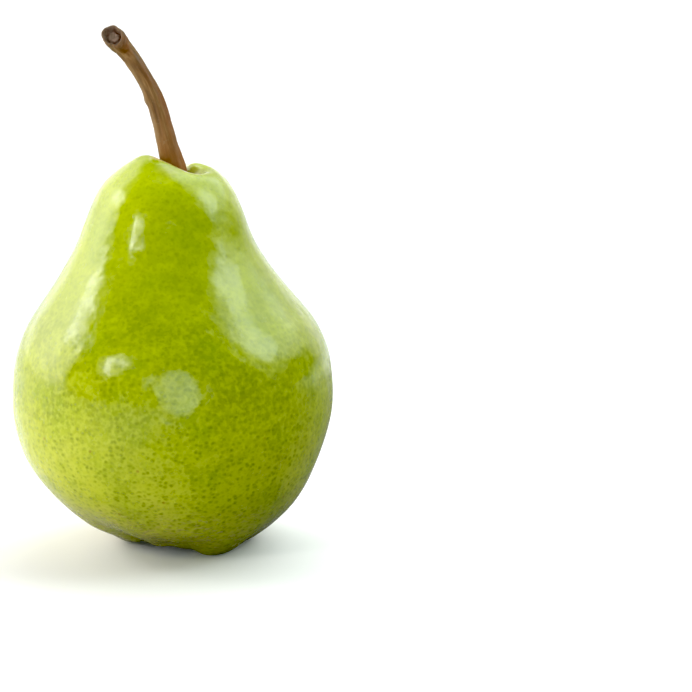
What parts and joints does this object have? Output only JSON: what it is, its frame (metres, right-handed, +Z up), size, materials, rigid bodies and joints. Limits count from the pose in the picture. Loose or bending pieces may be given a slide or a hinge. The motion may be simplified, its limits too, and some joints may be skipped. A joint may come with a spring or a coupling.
{
  "type": "pear",
  "caption": "Green winter pear that stands on its lobed foot, with a bent woody stem in a creased seat and a dried star-shaped calyx in the basin underneath.",
  "frame": {"origin": "on the surface that the pear stands on, under the middle of its box", "axes": "+Z up from the foot to the stem, +X to the right and -Y to the front as the picture shows the pear"},
  "size_m": [0.0784, 0.0778, 0.1279],
  "materials": {
    "pear_skin": "satin",
    "stem_bark": "matte",
    "dried_calyx": "matte"
  },
  "bodies": {
    "root": {"fruit": "pear_skin", "stem": "stem_bark", "calyx": "dried_calyx"}
  },
  "joints": []
}
